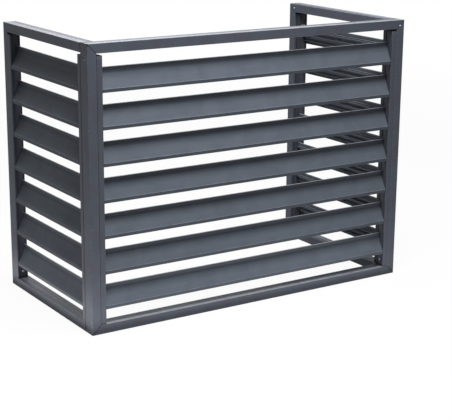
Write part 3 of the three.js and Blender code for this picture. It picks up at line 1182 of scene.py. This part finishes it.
@dataclass(frozen=True)
class SlatBlade:
    """A slat: a flat lip, a crease, a long hollow slope that leans back and a flange on top.

    Its own X is the depth, Y the height and Z runs along it.
    """

    height: float = 0.074
    depth: float = 0.028
    wall: float = 0.0018
    lip_setback: float = 0.001
    lip_height: float = 0.0105
    crease_depth: float = 0.0012
    crease_height: float = 0.001
    slope: tuple[Range, ...] = (
        (0.255, 0.27),
        (0.45, 0.405),
        (0.62, 0.54),
        (0.77, 0.68),
        (0.87, 0.775),
    )
    flange_share: float = 0.84
    port_radius: float = 0.004
    port_bore: float = 0.0019
    port_seat_share: float = 0.75
    port_heights: tuple[float, ...] = (0.77, 0.515, 0.215)
    port_mouth: float = math.pi / 5
    edge_roll: float = 0.0006
    crease_roll: float = 0.0005
    back_crease_roll: float = 0.0015
    slope_roll: float = 0.01
    flange_roll: float = 0.002
    roll_steps: int = 5
    arc_steps: int = 10
    end_shares: tuple[float, ...] = (0.0, 0.004, 0.02, 0.1, 0.25)

    def face(self) -> Array:
        """Works out the front of the section.

        Returns:
            Its corners from the foot of the lip to the top of the flange.
        """
        lip, flange = self.lip_setback, self.depth - self.wall
        crease = (lip + self.crease_depth, self.lip_height + self.crease_height)
        slope = np.array(self.slope) * (self.depth, self.height)
        top = [(flange, self.flange_share * self.height), (flange, self.height)]
        return np.vstack([[(lip, 0.0), (lip, self.lip_height), crease], slope, top])

    def port_centre(self, share: float) -> Array:
        """Places a screw port behind the wall.

        Args:
            share: Its height as a share of the slat's.

        Returns:
            Its centre.
        """
        depths, heights = self.face().T
        height = share * self.height
        behind = self.wall + self.port_radius * self.port_seat_share
        return np.array([float(np.interp(height, heights, depths)) + behind, height])

    def with_port(self, outline: Array, centre: Array) -> Array:
        """Leads the outline round a screw port that opens to the rear.

        The outline crosses the port's circle where |P + t D - C| equals the radius. Between the
        two crossings it follows the circle to the mouth, the bore to its other side and the
        circle back.

        Args:
            outline: Closed outline that goes down the back of the slat.
            centre: Centre of the port.

        Returns:
            The outline with the port's points put in.
        """
        step = np.roll(outline, -1, axis=0) - outline
        start = outline - centre
        a = np.sum(step * step, axis=1)
        b = np.sum(step * start, axis=1)
        c = np.sum(start * start, axis=1) - self.port_radius**2
        inner = b * b - a * c
        root = np.sqrt(np.clip(inner, 0.0, None))
        crossings = []
        for t in ((-b - root) / a, (-b + root) / a):
            number = int(np.argmax((inner > 0) & (t >= 0) & (t < 1)))
            x, y = start[number] + t[number] * step[number]
            crossings.append((number, math.atan2(y, x)))
        (into, upper), (out, lower) = crossings
        mouth, far_mouth = self.port_mouth, 2 * math.pi - self.port_mouth
        pieces = [
            outline[: into + 1],
            arc(centre, self.port_radius, upper, mouth, self.arc_steps),
            arc(centre, self.port_bore, mouth, far_mouth, 2 * self.arc_steps),
            arc(centre, self.port_radius, far_mouth, lower % (2 * math.pi), self.arc_steps),
            outline[out + 1 :],
        ]
        return np.vstack(pieces)

    def outline(self) -> Array:
        """Works out the whole section.

        Returns:
            Its points with rolled edges and screw ports, clockwise.
        """
        face = self.face()
        corners = np.vstack([face, offset_line(face, self.wall)[::-1]])
        rest = [self.slope_roll] * len(self.slope) + [self.flange_roll, self.edge_roll]
        front = [self.edge_roll] + [self.crease_roll] * 2 + rest
        back = [self.edge_roll] + [self.back_crease_roll] * 2 + rest
        outline = rolled_outline(corners, np.array(front + back[::-1]), self.roll_steps)
        for share in self.port_heights:
            outline = self.with_port(outline, self.port_centre(share))
        return outline

    def shell(self, length: float) -> Shell:
        """The slat as one closed surface.

        Args:
            length: Its length.

        Returns:
            The surface, marked with depth, height and the distance to the nearer end.
        """
        starts = np.array(self.end_shares)
        shares = np.concatenate([starts, [0.5], 1.0 - starts[::-1]])
        return prism(self.outline()[::-1], shares * length)


@dataclass(frozen=True)
class PanelSlats(PanelPieces):
    """The slats of a panel, counted from the top."""

    count: int = 7
    gap_below: float = 0.0475
    gap_above: float = 0.044
    blade: SlatBlade = SlatBlade()
    ending: ClassVar[str] = "blade"
    slot: ClassVar[str] = "slat_coat"
    sharp_angle: ClassVar[float] = 32.0

    def build(self) -> None:
        """Makes the slats, evenly spaced from the lowest to the highest."""
        panel = self.panel
        lowest = FrameTube.face + self.gap_below
        highest = panel.height - FrameTube.face - self.gap_above - self.blade.height
        (_, start, _), (_, end, _) = panel.ends(ChannelBar.width + 2 * panel.fit_gap)
        shell = self.blade.shell(end - start)
        for number, height in enumerate(np.linspace(highest, lowest, self.count), start=1):
            origin = np.array([start, 0.0, height])
            axes = panel.axes.inner(origin, Y_AXIS, Z_AXIS, X_AXIS)
            self.add(f"{panel.name}_slat_{number}", shell, axes)


# Fasteners


@dataclass(frozen=True)
class PanScrew:
    """A pan head screw with a cross recess. Its head looks along +Z, its seat is at zero."""

    head: float
    head_height: float
    shank: float
    length: float
    segments: int = 64
    crown_rings: int = 34
    crown_power: float = 3.0
    crown_root: float = 2.2
    rim_share: float = 0.12
    cross_reach: float = 0.52
    cross_half_width: float = 0.0005
    cross_depth: float = 0.0011
    cross_soft: float = 0.00036
    tip: float = 0.0012
    tip_share: float = 0.5

    def arm(self, along: Array, across: Array) -> Array:
        """One arm of the cross.

        Args:
            along: Places along the arm.
            across: Places across it.

        Returns:
            1 inside its reach and width, falling smoothly to 0 over a soft edge.
        """
        past_end = np.abs(along) - self.cross_reach * self.head / 2
        past_side = np.abs(across) - self.cross_half_width
        end, side = (np.clip(0.5 - past / self.cross_soft, 0, 1) for past in (past_end, past_side))
        return smooth(end * side)

    def shell(self) -> Shell:
        """The screw as a profile turned round the Z axis, closed at two poles.

        The point at profile step i and angle a is (r cos a, r sin a, z). The head's z is its
        height times (1 - (r/R)^power)^(1/root). The cross sinks it by its depth times the larger
        of two arms.

        Returns:
            The closed surface, marked with its own coordinates.
        """
        radius, shank = self.head / 2, self.shank / 2
        crown = np.linspace(0.0, 1.0, self.crown_rings)
        domed = self.head_height * (1 - crown**self.crown_power) ** (1 / self.crown_root)
        domed[-1] = self.rim_share * self.head_height
        radii = np.concatenate([radius * crown, [radius, shank, shank, self.tip_share * shank]])
        heights = np.concatenate([domed, [0.0, 0.0, self.tip - self.length, -self.length]])
        radii, heights = radii[1:, None], heights[1:, None]
        angles = np.arange(self.segments) * (2 * math.pi / self.segments)
        x, y = radii * np.cos(angles), radii * np.sin(angles)
        sunk = self.cross_depth * np.maximum(self.arm(x, y), self.arm(y, x))
        sunk[self.crown_rings - 2 :] = 0.0
        rings = np.dstack([x, y, heights - sunk]).reshape(-1, 3)
        poles = [[0.0, 0.0, self.head_height - self.cross_depth], [0.0, 0.0, -self.length]]
        points = np.vstack([rings, poles])
        first = np.arange(self.segments)
        last = first + len(rings) - self.segments
        top = np.stack([np.full(self.segments, len(rings)), np.roll(first, -1), first], axis=1)
        low = np.stack([np.full(self.segments, len(rings) + 1), last, np.roll(last, -1)], axis=1)
        faces = ring_quads(*x.shape, False).tolist() + top.tolist() + low.tolist()
        return Shell(points, faces, {"place": points})


@dataclass(frozen=True)
class PanelScrews(PanelPieces):
    """The screws of a panel: one through each channel, and two at its rear end if it is a side."""

    channel_rise: float = 0.024
    channel_bite: float = 0.006
    key_inset: float = 0.028
    key_bite: float = 0.014
    ending: ClassVar[str] = "pan"
    slot: ClassVar[str] = "stainless_steel"
    sharp_angle: ClassVar[float] = 34.0

    def through_channels(self) -> None:
        """Makes the screws that go through the channels into the post or frame behind them."""
        panel = self.panel
        seat = ChannelBar.width + 2 * panel.fit_gap
        length = seat + FrameTube.wall + self.channel_bite
        screw = PanScrew(head=0.007, head_height=0.0022, shank=0.004, length=length).shell()
        depth = sum(ChannelBar().land()) / 2
        for side, x, towards in panel.ends(seat):
            origin = np.array([x, depth, FrameTube.face + self.channel_rise])
            axes = panel.axes.inner(origin, Y_AXIS, Z_AXIS, towards)
            self.add(f"{panel.name}_{side}_channel_screw", screw, axes)

    def into_keys(self) -> None:
        """Makes the screws that go through a side panel's rails into its rear corner keys."""
        panel = self.panel
        length = panel.fit_gap + FrameTube.wall + self.key_bite
        screw = PanScrew(head=0.0075, head_height=0.0018, shank=0.0045, length=length).shell()
        x = self.key_inset if panel.posts[0] else panel.length - self.key_inset
        middle = FrameTube.face / 2
        for rail, z in (("top", panel.height - middle), ("bottom", middle)):
            origin = np.array([x, FrameTube.depth + panel.fit_gap, z])
            axes = panel.axes.inner(origin, X_AXIS, Z_AXIS, Y_AXIS)
            self.add(f"{panel.name}_rear_{rail}_key_screw", screw, axes)

    def build(self) -> None:
        """Makes the panel's screws."""
        self.through_channels()
        if "rear" in self.panel.sides:
            self.into_keys()


# Hidden joints


@dataclass(frozen=True)
class InnerJoints:
    """Corner keys and joint blocks inside the tubes, kept as the CAD has them."""

    endings: tuple[str, ...] = ("corner_key", "joint_block")

    def dress(self, nodes: Mapping[str, bpy.types.Object], finish: bpy.types.Material) -> None:
        """Gives the keys and blocks the cast metal.

        Args:
            nodes: Every CAD node by its name.
            finish: The cast metal.
        """
        for name, node in nodes.items():
            if name.endswith(self.endings):
                for slot in node.material_slots:
                    slot.material = finish
                LOG.info("%s: cast metal", name)


# Studio


@dataclass(frozen=True)
class SoftBox:
    """A large soft lamp, aimed at a point."""

    name: str
    place: Triple
    target: Triple
    width: float
    height: float
    power: float

    def build(self) -> None:
        """Hangs the lamp and turns it."""
        light = bpy.data.lights.new(self.name, "AREA")
        light.shape = "RECTANGLE"
        light.size = self.width
        light.size_y = self.height
        light.energy = self.power
        lamp = linked(self.name, light)
        lamp.location = self.place
        direction = Vector(self.target) - Vector(self.place)
        lamp.rotation_euler = direction.to_track_quat("-Z", "Y").to_euler()
        lamp.visible_camera = False
        LOG.info("%s: %.1f W", self.name, self.power)


@dataclass(frozen=True)
class Studio:
    """Pale floor, white surroundings and soft lamps, most of the light from overhead."""

    floor_half: float = 30.0
    floor_drop: float = 0.0004
    floor_colour: tuple[float, ...] = (0.8, 0.8, 0.8, 1.0)
    floor_near_share: float = 0.95
    floor_far: Range = (1.5, 6.0)
    ambient: float = 0.01
    lamps: tuple[SoftBox, ...] = (
        SoftBox("overhead_softbox", (-0.25, -0.85, 2.7), (-0.25, -0.85, 0.0), 1.0, 0.35, 48.0),
        SoftBox("front_softbox", (-0.5, -1.2, 2.8), (-0.5, -1.2, 0.0), 1.0, 0.4, 48.0),
        SoftBox("middle_softbox", (0.1, 0.2, 2.8), (0.1, 0.2, 0.0), 1.6, 0.6, 16.0),
        SoftBox("rear_softbox", (0.4, 2.6, 1.9), (0.0, 0.0, 0.45), 2.4, 1.4, 26.0),
        SoftBox("front_card", (-0.1, -0.42, 0.01), (-0.1, -0.42, 1.0), 1.4, 0.18, 1.8),
        SoftBox("left_card", (-0.95, 0.0, 0.01), (-0.95, 0.0, 1.0), 0.6, 1.2, 0.7),
        SoftBox("left_low_card", (-0.72, 0.0, 0.01), (-0.72, 0.0, 1.0), 0.2, 1.0, 1.2),
    )

    def seen(self, graph: Graph) -> Value:
        """Tells what is looked at from what lights a surface.

        Args:
            graph: Graph of a material or world.

        Returns:
            1 for what the camera, gloss or glass looks at, 0 for light that falls on a surface.
        """
        names = ("Is Camera Ray", "Is Glossy Ray", "Is Transmission Ray")
        camera, gloss, glass = (graph.node("ShaderNodeLightPath", output=name) for name in names)
        return camera.greatest(gloss).greatest(glass)

    def floor(self) -> None:
        """A wide plane just under the feet that takes the shadow and goes to white far away."""
        half, height = self.floor_half, -self.floor_drop
        signs = ((-1, -1), (1, -1), (1, 1), (-1, 1))
        mesh = bpy.data.meshes.new("studio_floor")
        mesh.from_pydata([(x * half, y * half, height) for x, y in signs], [], [(0, 1, 2, 3)])
        material, graph = new_material("studio_floor_paint")
        paint = graph.node("ShaderNodeBsdfDiffuse", None, {"Color": self.floor_colour})
        glow = graph.node("ShaderNodeEmission", None, {"Color": WHITE, "Strength": 1.0})
        away = graph.distance(graph.place(), (0.0, 0.0, 0.0)).rise(*self.floor_far)
        near = self.floor_near_share
        share = self.seen(graph) * (near + (1.0 - near) * away)
        graph.end_in(graph.node("ShaderNodeMixShader", None, {0: share, 1: paint, 2: glow}))
        material.cycles.emission_sampling = "NONE"
        mesh.materials.append(material)
        linked("studio_floor", mesh)
        LOG.info("studio_floor: %.0f m wide", 2 * half)

    def surroundings(self) -> None:
        """White to the eye and to gloss, softer as light."""
        world = bpy.data.worlds.new("studio_surroundings")
        world.use_nodes = True
        bpy.context.scene.world = world
        graph = Graph(world.node_tree)
        soft, plain = (
            graph.node("ShaderNodeBackground", None, {"Color": WHITE, "Strength": strength})
            for strength in (self.ambient, 1.0)
        )
        inputs = {0: self.seen(graph), 1: soft, 2: plain}
        graph.end_in(graph.node("ShaderNodeMixShader", None, inputs), "ShaderNodeOutputWorld")

    def build(self) -> None:
        """Lays the floor, sets the surroundings and hangs the lamps."""
        self.floor()
        self.surroundings()
        for lamp in self.lamps:
            lamp.build()


@dataclass(frozen=True)
class Viewpoint:
    """The camera, where it stood for the photograph."""

    place: Triple = (-2.2780, -3.6164, 1.4228)
    yaw: float = 33.1207
    tilt: float = 15.3787
    roll: float = 0.5127
    focal_pixels: float = 1280.18
    sensor: float = 36.0
    sight: float = 200.0

    def build(self) -> None:
        """Sets up the camera: turned by the yaw, tilted down and rolled a little."""
        camera = bpy.data.cameras.new("viewpoint")
        camera.sensor_fit = "HORIZONTAL"
        camera.sensor_width = self.sensor
        camera.lens = self.focal_pixels / PHOTO_WIDTH * self.sensor
        camera.clip_end = self.sight
        stand = linked("viewpoint", camera)
        turns = ((-self.yaw, "Z"), (90.0 - self.tilt, "X"), (self.roll, "Z"))
        yaw, tilt, roll = (Matrix.Rotation(math.radians(angle), 4, axis) for angle, axis in turns)
        stand.matrix_world = Matrix.Translation(self.place) @ yaw @ tilt @ roll
        bpy.context.scene.camera = stand
        LOG.info("viewpoint: %.1f mm lens", camera.lens)


def main() -> None:
    """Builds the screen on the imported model, panel by panel, then the studio and the camera."""
    logging.basicConfig(level=logging.INFO, format="%(message)s")
    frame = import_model()
    places = {"chip_place": (0.5815, -0.3, 0.8815), "nick_place": (-0.599, -0.3, 0.898)}
    frame_coat = PowderCoat("frame", Form.TUBE, "#495059", "#494953", "#a8acb3", **places)
    channel_coat = PowderCoat("channel", Form.CHANNEL, "#494c56", "#454850", "#a0a4ab")
    slat_coat = PowderCoat("slat", Form.SLAT, "#555b64", "#50555e", "#9a9fa6", specular=0.085)
    coats = [coat.build() for coat in (frame_coat, channel_coat, slat_coat)]
    cast_metal = CastMetal().build()
    screw_steel = ScrewSteel().build()
    for panel in Screen().panels():
        LOG.info("%s panel", panel.name)
        for pieces, coat in zip((PanelFrame, PanelChannels, PanelSlats), coats):
            pieces(panel, coat).build()
        PanelScrews(panel, screw_steel).build()
    InnerJoints().dress(frame["nodes"], cast_metal)
    Studio().build()
    Viewpoint().build()
    bpy.context.scene.view_settings.view_transform = "Standard"


if __name__ == "__main__":
    main()
